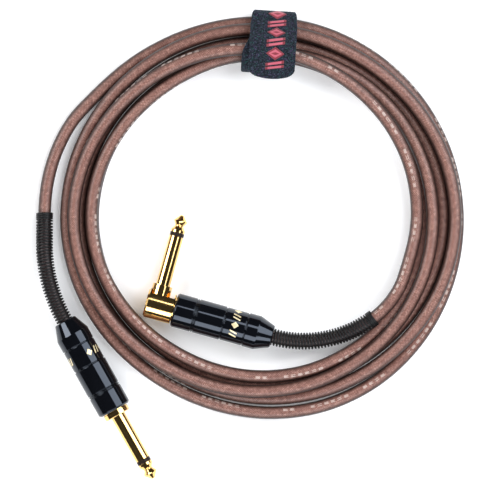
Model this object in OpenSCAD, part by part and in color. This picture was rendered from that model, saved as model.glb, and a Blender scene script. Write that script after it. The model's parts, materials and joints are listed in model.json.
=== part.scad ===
// Coiled instrument cable with one straight and one right-angle 6.35 mm plug.
// Millimetres. The table is z = 0, the coil lies flat on it, and +Z is up.

/* [Cable] */
// Outside diameter of the jacket
cable_d = 5.6; // [5.4:0.1:5.6]
// Outside diameter of the braided shield
shield_d = 4.06; // [3.9:0.02:4.06]
// Outside diameter of the conductive layer under the braid
conductive_d = 3.46; // [3.3:0.02:3.46]
// Outside diameter of the core insulation
insulation_d = 2.86; // [2.7:0.02:2.86]
// Diameter of the stranded centre conductor
conductor_d = 1.04; // [0.9:0.02:1.04]

/* [Coil] */
// Centre of the coil, across and along the table
coil_centre = [5.2, 10.7]; // [-20:0.1:20]
// Radius of the cable's centreline every 60 degrees, one row for each turn, each value 55 to 100
turn_radii = [
    [96.8, 88.4, 86.7, 86.3, 86.7, 83.4],
    [86.3, 84.9, 83.2, 85.1, 80.7, 77.5],
    [80.5, 79.2, 78.3, 80.1, 74.8, 71.7],
    [74.7, 73.3, 72.4, 72.2, 69.5, 69.3],
    [75.0, 72.4, 74.8, 75.2, 74.9, 76.8],
    [82.9, 78.0, 71.4, 68.1, 64.0, 58.0]
];
// Angle at which the coil takes over from the straight plug's lead
coil_start = 36; // [36]
// Angle after five turns at which the lead to the right-angle plug begins
coil_finish = 198; // [198]
// Stations of the swept cable in each turn
stations_per_turn = 20; // [20]
// Least gap between neighbouring strands
strand_gap = 0.12; // [0.1:0.01:0.14]
// Height at which the last station crosses above the inner turns
exit_z = 9.5; // [9:0.1:9.5]

/* [Plugs] */
// Height of both plug axes above the table
axis_z = 7.55; // [7.55:0.05:8]
// Diameter of the plug shaft
shaft_d = 6.35; // [6.35]
// Length of the shaft from its shoulder to the end of the tip
shaft_l = 32; // [31:0.5:32]
// Length of the tip contact
tip_l = 8.05; // [8.05]
// Length of the insulating ring behind the tip
ring_l = 1.75; // [1.75]
// Outside diameter of the shell
shell_d = 15.1; // [15.1]
// Length of the shell
shell_l = 44.9; // [44.9]
// Shoulder of the straight plug, from the coil's centre
straight_shoulder = [-63.4, -85.9]; // [-90:0.1:90]
// Direction in which the straight plug points
straight_heading = -60.6; // [-60.6]
// Middle of the right-angle plug's elbow, from the coil's centre
elbow_centre = [-46.0, -37.4]; // [-90:0.1:90]
// Direction in which the right-angle plug's shaft points
angle_heading = 74.5; // [74.5]

/* [Springs] */
// Radius at which the wire is wound
spring_r = 3.4; // [3.4]
// Thickness of the spring wire
wire_d = 0.68; // [0.6:0.02:0.68]
// Distance between turns
spring_pitch = 1.35; // [1.3:0.05:1.6]
// Bend radius and bent length of the straight plug's spring
straight_bend = [70.4, 36.1]; // [36:0.1:75]
// Straight length of that spring beyond its bend
straight_tail_l = 12.9; // [12.9]
// Bend radius and bent length of the right-angle plug's spring
angle_bend = [51.5, 47.2]; // [47:0.1:55]

/* [Strap] */
// Width of the strap
strap_w = 20.6; // [20:0.1:20.6]
// Thickness of the strap
strap_t = 1.4; // [1.2:0.1:1.4]
// Angle around the coil at which the strap sits
strap_angle = 93.5; // [93.5]
// Centreline of the wrapped band, as radius and height, from its free end to its fold, values 0 to 100
band_line = [
    [86.2, 12.1], [81.3, 15.6], [76.6, 18.8], [73.4, 19.7], [70.1, 18.9], [67.75, 15.7], [67.45, 10],
    [67.45, 4.6], [68.2, 2.15], [69.95, 1], [72.5, 0.74], [76, 0.71], [80, 0.71], [84, 0.71], [87.4, 0.74],
    [89.6, 1.1], [91, 2.6], [91.4, 5.2], [91.45, 8.6]
];
// Centreline of the tail over the band, from its fold to its rounded end, values 0 to 100
tail_line = [
    [91.45, 9.6], [90.6, 11.6], [87.5, 13.9], [82.6, 17.3], [77.6, 20.8], [73.4, 21.6],
    [69.6, 20.8], [66, 18.9], [61.9, 17.2]
];
// Centreline of the hook patch between the two, values 0 to 100
hook_line = [[84.6, 14.6], [81.9, 16.48], [77.2, 19.72], [73.5, 20.62], [70.7, 20.2]];
// Thickness of the hook patch
hook_t = 0.3; // [0.2:0.05:0.3]

/* [Hidden] */
$fn = 64;

fit = 0.02;              // gap between parts that are assembled snugly
thread_gap = 0.05;       // radial gap between a shell and the boss it screws on
boss_r = 5.5;            // threaded boss under the shell
boss_l = 6.5;
boss_step = 0.3;         // gap between the shell's nose and what it screws against
flange_r = 5.85;
flange_l = 2.4;
rod_r = 1.2;
rod_sleeve_r = 2.05;     // insulating tube around the rod
strip_y = [-2.4, -1.9];  // faces of the strip that carries the signal
strip_w = 2.2;
lug_r = 2.5;
lug_end = -16.5;         // barrel positions, behind the shell's front face
clamp_end = -30;
jacket_front = -23;
shield_front = -21.5;
conductive_front = -20;
insulation_front = -17.5;
conductor_front = -13.5;
elbow_front = 7.5;       // from the elbow's middle to the shell's front face
elbow_back = 5.2;        // from the elbow's middle to its free end
elbow_r = 6.7;
shoulder_h = 9.1;        // from the elbow's middle to the shaft's shoulder
straight_split = [24.6, 1.1];  // where the straight lead flexes, and the gap each side of it
angle_split = [24.3, 0.9];
far_end_z = [3.95, 10];        // height of each spring's far end

// ---- The line that the cable follows ----

// Cubic through four equally spaced values, from the second to the third
function cubic(a, b, c, d, f) =
    b + 0.5 * f * (c - a + f * (2 * a - 5 * b + 4 * c - d + f * (3 * (b - c) + d - a)));
function at(list, i) = list[max(0, min(len(list) - 1, i))];
function along(list, t) = let (i = floor(t), f = t - i)
    cubic(at(list, i - 1), at(list, i), at(list, i + 1), at(list, i + 2), f);

radii = [for (row = turn_radii) each row];
station_step = 360 / stations_per_turn;
station_count = round((1800 + coil_finish - coil_start) / station_step) + 1;
function station_angle(k) = coil_start + k * station_step;
function station_radius(k) = along(radii, station_angle(k) / 60);

// The table, raised where the strap passes under the bundle
strap_reach = 45;        // the rise begins this far from the strap, in degrees
strap_flat = 12;         // and is whole within this
strap_clear = 0.15;
function floor_z(k) =
    let (off = (station_angle(k) - strap_angle + 180 + 3600) % 360 - 180)
    cable_d / 2 + (strap_t + strap_clear) * ease((strap_reach - abs(off)) / (strap_reach - strap_flat));

// Turns already laid that come too near, as [height, rise needed to clear]
apart = cable_d + strand_gap;
function near_turns(k, z) = [
    for (j = k - stations_per_turn; j >= 0; j = j - stations_per_turn)
        let (d = abs(station_radius(k) - station_radius(j)))
        if (j < len(z) && d < apart) [z[j], sqrt(apart ^ 2 - d ^ 2)]
];
function climb(z, turns, i = 0) = i >= 3 * len(turns) ? z :
    let (t = turns[i % len(turns)])
    climb(abs(z - t[0]) < t[1] - 1e-6 ? t[0] + t[1] : z, turns, i + 1);
function rest_height(k, z) =
    let (j = max(0, min(station_count - 1, k))) climb(floor_z(j), near_turns(j, z));

// Each station takes the mean of the highest rest nearby, so the cable climbs smoothly
function station_height(k, z) =
    ([for (a = [-1:1]) max([for (b = [-1:1]) rest_height(k + a + b, z)])] * [1, 1, 1]) / 3;
function lay(k, z) = k >= station_count ? z : lay(k + 1, concat(z, [station_height(k, z)]));
heights = lay(0, []);

last = station_count - 1;
function coil_point(k) = let (a = station_angle(k), r = station_radius(k))
    [coil_centre[0] - r * cos(a), coil_centre[1] + r * sin(a), k == last ? exit_z : heights[k]];

// Position after length s on a bend that starts at p with heading h; a negative radius turns right
function bend_heading(h, r, s) = h + s / r * 180 / PI;
function bend_point(p, h, r, s) = let (g = bend_heading(h, r, s))
    [p[0] + r * (sin(g) - sin(h)), p[1] - r * (cos(g) - cos(h))];
function ahead(p, h, s) = [p[0] + s * cos(h), p[1] + s * sin(h)];
function ease(f) = let (u = max(0, min(1, f))) u * u * (3 - 2 * u);

straight_pos = coil_centre + straight_shoulder;
straight_rear = ahead(straight_pos, straight_heading, -(flange_l + boss_step + shell_l));
straight_back = straight_heading + 180;
elbow_pos = coil_centre + elbow_centre;
angle_back = angle_heading - 90;
angle_rear = ahead(elbow_pos, angle_back, elbow_front + shell_l);

// Each lead as a point at distance s behind its shell; s below 0 is inside the shell
straight_lead_l = straight_bend[1] + straight_tail_l;
function straight_lead(s) =
    let (bent = max(0, min(s, straight_bend[1])),
         p = bend_point(straight_rear, straight_back, -straight_bend[0], bent),
         h = bend_heading(straight_back, -straight_bend[0], bent),
         q = ahead(p, h, s - bent),
         f = (s - straight_split[0]) / (straight_lead_l - straight_split[0]))
    [q[0], q[1], axis_z + (far_end_z[0] - axis_z) * ease(f)];
function angle_lead(s) =
    let (bent = max(0, min(s, angle_bend[1])),
         p = bend_point(angle_rear, angle_back, angle_bend[0], bent),
         q = ahead(p, bend_heading(angle_back, angle_bend[0], bent), s - bent),
         f = (s - angle_split[0]) / (angle_bend[1] - angle_split[0]))
    [q[0], q[1], axis_z + (far_end_z[1] - axis_z) * ease(f)];

function unit(v) = v / norm(v);
function bridge(a, ta, b, tb, f) = let (l = norm(b - a))
    (1 + 2 * f) * (1 - f) ^ 2 * a + f * (1 - f) ^ 2 * l * ta
    + f ^ 2 * (3 - 2 * f) * b - f ^ 2 * (1 - f) * l * tb;
function bridge_points(a, ta, b, tb, n) = [for (i = [1:n - 1]) bridge(a, ta, b, tb, i / n)];

lead_in_end = straight_lead(straight_lead_l);
lead_out_end = angle_lead(angle_bend[1]);
cable_line = concat(
    [for (i = [0:3]) straight_lead(straight_split[0] + straight_split[1]
        + (straight_lead_l - straight_split[0] - straight_split[1]) * i / 4)],
    [lead_in_end],
    bridge_points(lead_in_end, unit(lead_in_end - straight_lead(straight_lead_l - 1)),
        coil_point(0), unit(coil_point(1) - coil_point(0)), 4),
    [for (k = [0:last]) coil_point(k)],
    bridge_points(coil_point(last), unit(coil_point(last) - coil_point(last - 1)),
        lead_out_end, unit(angle_lead(angle_bend[1] - 1) - lead_out_end), 3),
    [for (i = [4:-1:0]) angle_lead(angle_split[0] + angle_split[1]
        + (angle_bend[1] - angle_split[0] - angle_split[1]) * i / 4)]
);

// ---- Swept tubes and wound wire ----

function tangent(line, i) = unit(line[min(i + 1, len(line) - 1)] - line[max(i - 1, 0)]);
// A ring of points around a line, kept level so that it never twists
function ring_at(line, i, r, sides) =
    let (t = tangent(line, i), side = unit(cross([0, 0, 1], t)), up = cross(t, side))
    [for (j = [0:sides - 1]) let (a = 360 * j / sides) line[i] + r * (cos(a) * side + sin(a) * up)];
function wall_faces(first, n, sides, flip) = [
    for (i = [0:n - 2], j = [0:sides - 1])
        let (a = first + i * sides + j, b = first + i * sides + (j + 1) % sides,
             c = a + sides, d = b + sides)
        each flip ? [[a, c, b], [b, c, d]] : [[a, b, c], [b, d, c]]
];

module swept_tube(line, outer_r, inner_r, sides) {
    n = len(line);
    inner = n * sides;
    polyhedron(
        points = concat(
            [for (i = [0:n - 1]) each ring_at(line, i, outer_r, sides)],
            [for (i = [0:n - 1]) each ring_at(line, i, inner_r, sides)]),
        faces = concat(
            wall_faces(0, n, sides, false), wall_faces(inner, n, sides, true),
            [for (j = [0:sides - 1]) let (k = (j + 1) % sides) each
                [[j, inner + j, k], [k, inner + j, inner + k]]],
            [for (j = [0:sides - 1]) let (k = (j + 1) % sides, e = (n - 1) * sides) each
                [[e + j, e + k, inner + e + j], [e + k, inner + e + k, inner + e + j]]]),
        convexity = 10);
}

module swept_rod(line, r, sides) {
    n = len(line);
    e = (n - 1) * sides;
    polyhedron(
        points = [for (i = [0:n - 1]) each ring_at(line, i, r, sides)],
        faces = concat(
            wall_faces(0, n, sides, false),
            [for (j = [1:sides - 2]) [0, j + 1, j]],
            [for (j = [1:sides - 2]) [e, e + j, e + j + 1]]),
        convexity = 10);
}

// Wire wound around a lead: open turns, then a few close turns at the far end
spring_inside = 7.6;
close_turns = 3.5;
close_pitch = wire_d + 0.06;
wire_sides = 4;
steps_per_turn = 8;
// A turn's chords pass inside its circle, so its corners lie as far outside it
wound_r = spring_r / sqrt(cos(180 / steps_per_turn));
function call_lead(lead, s) = lead == "straight" ? straight_lead(s) : angle_lead(s);
function wound_line(lead, l) =
    let (open_l = l + spring_inside - close_turns * close_pitch, open_turns = open_l / spring_pitch,
         n = floor((open_turns + close_turns) * steps_per_turn))
    [for (i = [0:n])
        let (turn = i / steps_per_turn,
             s = -spring_inside + (turn < open_turns ? turn * spring_pitch
                 : open_l + (turn - open_turns) * close_pitch),
             c = call_lead(lead, s), t = unit(call_lead(lead, s + 0.5) - call_lead(lead, s - 0.5)),
             side = unit(cross([0, 0, 1], t)), up = cross(t, side))
        c + wound_r * (cos(360 * turn) * side + sin(360 * turn) * up)];
module spring_wire(lead, l) { swept_rod(wound_line(lead, l), wire_d / 2, wire_sides); }

// ---- Places that the plug parts are drawn in, with +Z towards the front ----

module straight_shaft_place() {
    translate([straight_pos[0], straight_pos[1], axis_z])
        rotate([0, 0, straight_heading]) rotate([0, 90, 0]) children();
}
module straight_barrel_place() {
    straight_shaft_place() translate([0, 0, -flange_l - boss_step]) children();
}
module angle_shaft_place() {
    translate([elbow_pos[0], elbow_pos[1], axis_z])
        rotate([0, 0, angle_heading]) rotate([0, 90, 0]) translate([0, 0, shoulder_h]) children();
}
module angle_barrel_place() {
    translate([elbow_pos[0], elbow_pos[1], axis_z])
        rotate([0, 0, angle_back + 180]) rotate([0, 90, 0]) translate([0, 0, -elbow_front]) children();
}

module tube(r_out, r_in, z0, z1) {
    translate([0, 0, z0]) difference() {
        cylinder(r = r_out, h = z1 - z0);
        translate([0, 0, -1]) cylinder(r = r_in, h = z1 - z0 + 2);
    }
}

// ---- Parts that both plugs share ----

sleeve_l = shaft_l - tip_l - ring_l;

// Tip contact, turned in one piece with its rod and riveted over at the back
module tip_contact(rod_back) {
    base = shaft_l - tip_l;
    r = shaft_d / 2;
    waist_r = 1.98;
    rivet = [1.8, 0.8];
    color("goldenrod") rotate_extrude() polygon([
        [0, rod_back - rivet[1]], [rivet[0], rod_back - rivet[1]], [rivet[0], rod_back], [rod_r, rod_back],
        [rod_r, base], [r - 0.1, base], [r, base + 0.1], [r, base + 1.2], [waist_r, base + 2.9],
        [waist_r, base + 3.25], [r - 0.25, base + 4.7], [r - 0.05, base + 5.05], [r - 0.2, base + 5.4],
        [1.05, shaft_l - 0.45], [0.6, shaft_l - 0.1], [0, shaft_l]
    ]);
}
module tip_ring() {
    color("black") tube(shaft_d / 2 - 0.03, rod_r + fit, sleeve_l + fit, sleeve_l + ring_l - fit);
}
module rod_insulator(back) {
    color("ivory") tube(rod_sleeve_r, rod_r + fit, back, sleeve_l);
}
module lug_strip(z0) {
    translate([-strip_w / 2, strip_y[0], lug_end]) cube([strip_w, strip_y[1] - strip_y[0], z0 - lug_end]);
}

// Shell profile: nose, twin neck grooves, middle, marked band, rear and tail cone
shell_bore_r = boss_r + 0.2;
shell_bore_end = -38.3;
tail_bore_r = 4.1;
thread_l = 7;
module shell() {
    r = shell_d / 2;
    neck_r = r - 0.35;
    groove_r = r - 0.4;
    band_r = r - 0.15;
    color("black") rotate_extrude() polygon([
        [shell_bore_r, 0], [r - 0.75, 0], [r, -0.75], [r, -9], [neck_r, -9.1], [neck_r, -9.45],
        [r - 0.05, -9.55], [r - 0.05, -9.85], [neck_r, -9.95], [neck_r, -10.25], [r, -10.35],
        [r, -22.4], [groove_r, -22.5], [groove_r, -22.9], [band_r, -23], [band_r, -32.4],
        [groove_r, -32.5], [groove_r, -32.8], [r, -32.9], [r, -38.1], [r - 0.25, -38.7],
        [r - 2.55, -shell_l + 0.3], [r - 2.9, -shell_l], [tail_bore_r, -shell_l],
        [tail_bore_r, shell_bore_end], [shell_bore_r, shell_bore_end]
    ]);
    color("dimgray") tube(shell_bore_r + 0.05, boss_r + thread_gap, -thread_l, 0);
}

// Insulating tube that lines the shell
module liner() {
    color("white") tube(shell_bore_r - 0.25, 5, shell_bore_end + 0.8, -8);
}

// Ground terminal: a washer on the boss, a strip, and a claw that grips the jacket
washer_t = 0.8;
ground_strip = [4.8, 0.9];
ground_strip_y = 3.3;
module ground_clamp() {
    claw_l = 3.5;
    claw_slot = 1.2;
    color("gold") difference() {
        union() {
            tube(4.7, 3, -boss_l - washer_t, -boss_l);
            translate([-ground_strip[0] / 2, ground_strip_y, clamp_end + 2])
                cube([ground_strip[0], ground_strip[1], -boss_l - clamp_end - 2]);
            tube(3.5, cable_d / 2 + 0.03, clamp_end, clamp_end + claw_l);
        }
        translate([-claw_slot / 2, -5, clamp_end - 1]) cube([claw_slot, 5, claw_l + 2]);
    }
}
module tip_solder() {
    bead_r = 1.4;
    color("silver") translate([0, -1.2, -15]) sphere(r = bead_r);
}
// Braid gathered and soldered to the ground strip
module shield_tail() {
    tail_r = 0.6;
    tail_start = [2.4, -22.4];
    tail_run = [1.25, 2.6];
    color("peru") translate([0, tail_start[0], tail_start[1]])
        rotate([-atan2(tail_run[0], tail_run[1]), 0, 0]) cylinder(r = tail_r, h = norm(tail_run));
}

// ---- Cable layers ----

// Radius of a hole with flat sides that clears a rod of radius r
layer_gap = 0.05;
function clear_of(r, sides) = (r + layer_gap) / cos(180 / sides);
jacket_sides = 10;
shield_sides = 8;
core_sides = 6;
conductor_sides = 5;
module jacket_layer(line) {
    color("rosybrown") swept_tube(line, cable_d / 2, clear_of(shield_d / 2, jacket_sides), jacket_sides);
}
module shield_layer(line) {
    color("peru") swept_tube(line, shield_d / 2, clear_of(conductive_d / 2, shield_sides), shield_sides);
}
module conductive_layer(line) {
    color("black") swept_tube(line, conductive_d / 2, insulation_d / 2 + fit, core_sides);
}
module insulation_layer(line) {
    color("white") swept_tube(line, insulation_d / 2, clear_of(conductor_d / 2, core_sides), core_sides);
}
module conductor_layer(line) { color("orange") swept_rod(line, conductor_d / 2, conductor_sides); }

// A lead runs straight from its stripped front to the shell's end, then bends as far as its split
bend_steps = 4;
function lead_line(lead, front, split) = concat(
    [call_lead(lead, -shell_l - front)],
    [for (i = [0:bend_steps]) call_lead(lead, (split[0] - split[1]) * i / bend_steps)]);
function straight_line(front) = lead_line("straight", front, straight_split);
function angle_line(front) = lead_line("angle", front, angle_split);

// ---- Coil ----

module coil_jacket() { jacket_layer(cable_line); }
module coil_shield() { shield_layer(cable_line); }
module coil_conductive_layer() { conductive_layer(cable_line); }
module coil_insulation() { insulation_layer(cable_line); }
module coil_conductor() { conductor_layer(cable_line); }

// ---- Strap ----

function smooth_line(points, n) = [for (i = [0:(len(points) - 1) * n]) along(points, i / n)];
function side_of(line, i) = let (t = tangent(line, i)) [-t[1], t[0]];
function ribbon(line, t) = concat(
    [for (i = [0:len(line) - 1]) line[i] + side_of(line, i) * t / 2],
    [for (i = [len(line) - 1:-1:0]) line[i] - side_of(line, i) * t / 2]);

// Drawn with x as the radius, y across the strap and z up
module strap_place() {
    translate([coil_centre[0], coil_centre[1], 0]) rotate([0, 0, 180 - strap_angle]) children();
}
module ribbon_solid(line, t, w) {
    translate([0, w / 2, 0]) rotate([90, 0, 0])
        linear_extrude(height = w) polygon(ribbon(smooth_line(line, 2), t));
}
module strap_band() { color("midnightblue") strap_place() ribbon_solid(band_line, strap_t, strap_w); }

// Outline of the tail seen from above: its end is a shallow arc with rounded corners
tail_end_r = 61.9;
tail_arc_r = 22;
tail_corner_r = 4;
tail_l = 40;
module tail_outline() {
    inset = strap_w / 2 - tail_corner_r;
    translate([tail_end_r, 0]) intersection() {
        union() {
            translate([tail_corner_r, -strap_w / 2]) square([tail_l, strap_w]);
            translate([0, -inset]) square([tail_corner_r + 1, 2 * inset]);
            for (y = [-inset, inset]) translate([tail_corner_r, y]) circle(r = tail_corner_r);
        }
        union() {
            translate([tail_arc_r, 0]) circle(r = tail_arc_r);
            translate([tail_arc_r, -strap_w]) square([tail_l, 2 * strap_w]);
        }
    }
}
module strap_tail() {
    axis = tail_line[0];
    color("darkslategray") strap_place() intersection() {
        union() {
            ribbon_solid(tail_line, strap_t, strap_w);
            translate([axis[0], strap_w / 2, axis[1]]) rotate([90, 0, 0])
                cylinder(r = strap_t / 2, h = strap_w);
        }
        linear_extrude(height = tail_l) tail_outline();
    }
}
module strap_hook_patch() { color("gray") strap_place() ribbon_solid(hook_line, hook_t, strap_w - 4); }

// ---- Straight plug ----

shell_front = -flange_l - boss_step;
stack_back = -9.5;       // rear face of the lug, behind the shell's front
stack_lug = -8.9;
module straight_tip() { straight_shaft_place() tip_contact(shell_front + stack_back); }
module straight_tip_ring() { straight_shaft_place() tip_ring(); }
module straight_rod_insulator() {
    straight_shaft_place() rod_insulator(shell_front - boss_l - washer_t + 0.1);
}
module straight_sleeve() {
    r = shaft_d / 2;
    back = shell_front - boss_l;
    color("goldenrod") straight_shaft_place() rotate_extrude() polygon([
        [rod_sleeve_r + fit, back], [boss_r, back], [boss_r, -flange_l], [flange_r - 0.2, -flange_l],
        [flange_r, -flange_l + 0.2], [flange_r, -0.3], [flange_r - 0.3, 0], [r, 0],
        [r, sleeve_l], [rod_sleeve_r + fit, sleeve_l]
    ]);
}
module straight_rear_insulator() {
    color("ivory") straight_barrel_place()
        tube(ground_strip_y - 0.1, rod_r + fit, stack_lug, -boss_l - washer_t);
}
module straight_tip_lug() {
    color("gold") straight_barrel_place() {
        tube(lug_r, rod_r + fit, stack_back, stack_lug);
        lug_strip(stack_lug - 0.1);
    }
}
module straight_ground_clamp() { straight_barrel_place() ground_clamp(); }
module straight_tip_solder() { straight_barrel_place() tip_solder(); }
module straight_shield_tail() { straight_barrel_place() shield_tail(); }
module straight_liner() { straight_barrel_place() liner(); }
module straight_shell() { straight_barrel_place() shell(); }
module straight_spring() { color("black") spring_wire("straight", straight_lead_l); }
module straight_lead_jacket() { jacket_layer(straight_line(jacket_front)); }
module straight_lead_shield() { shield_layer(straight_line(shield_front)); }
module straight_lead_conductive_layer() { conductive_layer(straight_line(conductive_front)); }
module straight_lead_insulation() { insulation_layer(straight_line(insulation_front)); }
module straight_lead_conductor() { conductor_layer(straight_line(conductor_front)); }

// ---- Right-angle plug ----

rod_back = 1.9 - shoulder_h;
stem_bore_r = 3;
module angle_tip() { angle_shaft_place() tip_contact(rod_back); }
module angle_tip_ring() { angle_shaft_place() tip_ring(); }
module angle_rod_insulator() { angle_shaft_place() rod_insulator(rod_back + 0.9); }
module angle_sleeve() {
    r = shaft_d / 2;
    stem_r = stem_bore_r - fit;
    color("goldenrod") angle_shaft_place() rotate_extrude() polygon([
        [rod_sleeve_r + fit, -5], [stem_r, -5], [stem_r, 0], [r, 0], [r, sleeve_l],
        [rod_sleeve_r + fit, sleeve_l]
    ]);
}
// Housing along the barrel's axis, with a collar for the sleeve on a spot-faced flat
module angle_elbow() {
    cavity_r = 4;
    cavity_past = 3.2;   // how far the hollow reaches beyond the shaft's axis
    collar_r = 4.4;
    flat_h = 4.6;
    flat_w = 20;
    flat_l = 11;
    color("goldenrod") difference() {
        union() {
            angle_barrel_place() difference() {
                rotate_extrude() polygon([
                    [0, -boss_l], [boss_r, -boss_l], [boss_r, boss_step], [elbow_r - 0.3, boss_step],
                    [elbow_r, boss_step + 0.3], [elbow_r, elbow_front + elbow_back - 0.8],
                    [elbow_r - 0.8, elbow_front + elbow_back], [0, elbow_front + elbow_back]
                ]);
                translate([-flat_w / 2, -flat_h - flat_w, 1]) cube([flat_w, flat_w, flat_l]);
            }
            angle_shaft_place() translate([0, 0, -shoulder_h + flat_h - 1])
                cylinder(r = collar_r, h = shoulder_h - flat_h + 1);
        }
        angle_barrel_place() translate([0, 0, -boss_l - 1])
            cylinder(r = cavity_r, h = boss_l + 1 + elbow_front + cavity_past);
        angle_shaft_place() translate([0, 0, -shoulder_h])
            cylinder(r = stem_bore_r, h = shoulder_h + 1);
    }
}
module angle_rear_insulator() {
    slot_gap = 0.1;
    color("ivory") angle_barrel_place() difference() {
        tube(3.96, 1.2, -boss_l, -2.5);
        translate([-strip_w / 2 - slot_gap, strip_y[0] - slot_gap, -boss_l - 1])
            cube([strip_w + 2 * slot_gap, strip_y[1] - strip_y[0] + 2 * slot_gap, boss_l]);
    }
}
module angle_tip_lug() {
    color("gold") {
        angle_shaft_place() tube(lug_r, rod_r + fit, rod_back, rod_back + 0.5);
        angle_barrel_place() lug_strip(elbow_front - 2);
    }
}
module angle_ground_clamp() { angle_barrel_place() ground_clamp(); }
module angle_tip_solder() { angle_barrel_place() tip_solder(); }
module angle_shield_tail() { angle_barrel_place() shield_tail(); }
module angle_liner() { angle_barrel_place() liner(); }
module angle_shell() { angle_barrel_place() shell(); }
module angle_spring() { color("black") spring_wire("angle", angle_bend[1]); }
module angle_lead_jacket() { jacket_layer(angle_line(jacket_front)); }
module angle_lead_shield() { shield_layer(angle_line(shield_front)); }
module angle_lead_conductive_layer() { conductive_layer(angle_line(conductive_front)); }
module angle_lead_insulation() { insulation_layer(angle_line(insulation_front)); }
module angle_lead_conductor() { conductor_layer(angle_line(conductor_front)); }

coil_jacket();
coil_shield();
coil_conductive_layer();
coil_insulation();
coil_conductor();
strap_band();
strap_tail();
strap_hook_patch();
straight_tip();
straight_tip_ring();
straight_rod_insulator();
straight_sleeve();
straight_rear_insulator();
straight_tip_lug();
straight_ground_clamp();
straight_tip_solder();
straight_shield_tail();
straight_liner();
straight_shell();
straight_spring();
straight_lead_jacket();
straight_lead_shield();
straight_lead_conductive_layer();
straight_lead_insulation();
straight_lead_conductor();
angle_tip();
angle_tip_ring();
angle_rod_insulator();
angle_sleeve();
angle_elbow();
angle_rear_insulator();
angle_tip_lug();
angle_ground_clamp();
angle_tip_solder();
angle_shield_tail();
angle_liner();
angle_shell();
angle_spring();
angle_lead_jacket();
angle_lead_shield();
angle_lead_conductive_layer();
angle_lead_insulation();
angle_lead_conductor();
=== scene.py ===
import json
import math

import bpy
import numpy as np
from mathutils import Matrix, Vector, noise


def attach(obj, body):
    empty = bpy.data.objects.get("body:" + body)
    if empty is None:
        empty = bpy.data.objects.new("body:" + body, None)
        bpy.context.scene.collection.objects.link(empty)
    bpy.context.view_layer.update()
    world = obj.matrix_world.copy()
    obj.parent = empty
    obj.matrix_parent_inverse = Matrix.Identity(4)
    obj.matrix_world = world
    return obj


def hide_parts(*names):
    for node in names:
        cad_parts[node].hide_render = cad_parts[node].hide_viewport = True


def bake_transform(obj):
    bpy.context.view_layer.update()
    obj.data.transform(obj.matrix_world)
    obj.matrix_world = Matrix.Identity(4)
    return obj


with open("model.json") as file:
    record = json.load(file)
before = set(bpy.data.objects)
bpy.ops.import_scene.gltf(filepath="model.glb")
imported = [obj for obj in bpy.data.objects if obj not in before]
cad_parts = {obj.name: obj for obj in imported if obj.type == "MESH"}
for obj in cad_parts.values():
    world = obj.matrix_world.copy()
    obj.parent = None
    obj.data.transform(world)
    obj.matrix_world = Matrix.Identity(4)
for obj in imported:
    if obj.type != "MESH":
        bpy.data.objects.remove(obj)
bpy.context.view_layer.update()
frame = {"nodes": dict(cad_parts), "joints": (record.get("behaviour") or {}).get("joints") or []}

MM = 0.001
UP = np.array([0.0, 0.0, 1.0])
LINE_STEP = 0.5 * MM     # between the points of a smooth line

# ---- Driving dimensions, in millimetres unless the name says otherwise ----
# Each layer of the cable: radius, sides of its tube, length between its rings in the coil
LAYERS = {
    "jacket": (2.8, 28, 2.0),
    "shield": (2.03, 12, 4.0),
    "conductive_layer": (1.73, 10, 4.0),
    "insulation": (1.43, 10, 4.0),
    "conductor": (0.52, 8, 4.0),
}
LEAD_STEP = 1.0          # length between the rings of a lead
SEAM_PAST_SPRING = -1.5  # from a spring's far end to where its lead meets the coil, under the close turns
PRINT_TURN = 780.0       # cable length in which the printed line goes once around
PRINT_PHASE = 0.2        # where along that turn the line starts, in turns
PRINT_DASH = 3.1         # from one dash to the next
WIRE_R = 0.42
SPRING_R = 3.4           # to the middle of the wire
SPRING_PITCH = 1.35
CLOSE_TURNS = 3.5        # at a spring's far end
CLOSE_PITCH = 0.74
WIRE_STEPS = 20          # rings in a turn of spring wire
WIRE_SIDES = 10
WIRE_END = 0.55          # thickness of a wire's end, as a share of the wire's
STRAP_W = 20.6
STRAP_T = 1.4
STRAP_FOLD_R = 91.45     # from the coil's centre to the strap's fold


# ---- What the frame says ----

def joint(name):
    return next(j for j in frame["joints"] if j["name"] == name)


def corners(node):
    return np.array([v.co for v in frame["nodes"][node].data.vertices], float)


def axis_span(node, origin, axis):
    """How far the node reaches along an axis, as (least, most), in metres."""
    reach = (corners(node) - origin) @ axis
    return reach.min(), reach.max()


def unit(v):
    v = np.asarray(v, float)
    return v / np.linalg.norm(v, axis=-1, keepdims=True)


def rod_stations(node, start, reach=1.3 * MM):
    """The centres of a swept rod's rings, in the order that its walls join them, from start onwards."""
    mesh = frame["nodes"][node].data
    points, place = np.unique(corners(node).round(6), axis=0, return_inverse=True)
    place = place.ravel()
    ring = np.full(len(points), -1)
    middles = []
    for i in range(len(points)):
        if ring[i] < 0:
            near = (np.linalg.norm(points - points[i], axis=1) < reach) & (ring < 0)
            ring[near] = len(middles)
            middles.append(points[near].mean(0))
    joined = {i: set() for i in range(len(middles))}
    for face in mesh.polygons:
        rings = {int(ring[place[v]]) for v in face.vertices}
        for a in rings:
            joined[a] |= rings - {a}
    middles = np.array(middles)
    order = [int(np.argmin(np.linalg.norm(middles - start, axis=1)))]
    while True:
        following = [n for n in joined[order[-1]] if n not in order]
        if not following:
            return middles[order]
        order.append(following[0])


# ---- Lines ----

def split_straights(points, most=8 * MM):
    """Adds points along the long straight stretches, so that the smooth curve stays straight there."""
    out = [points[0]]
    for a, b in zip(points[:-1], points[1:]):
        n = math.ceil(np.linalg.norm(b - a) / most)
        out += [a + (b - a) * k / n for k in range(1, n + 1)]
    return np.array(out)


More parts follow.
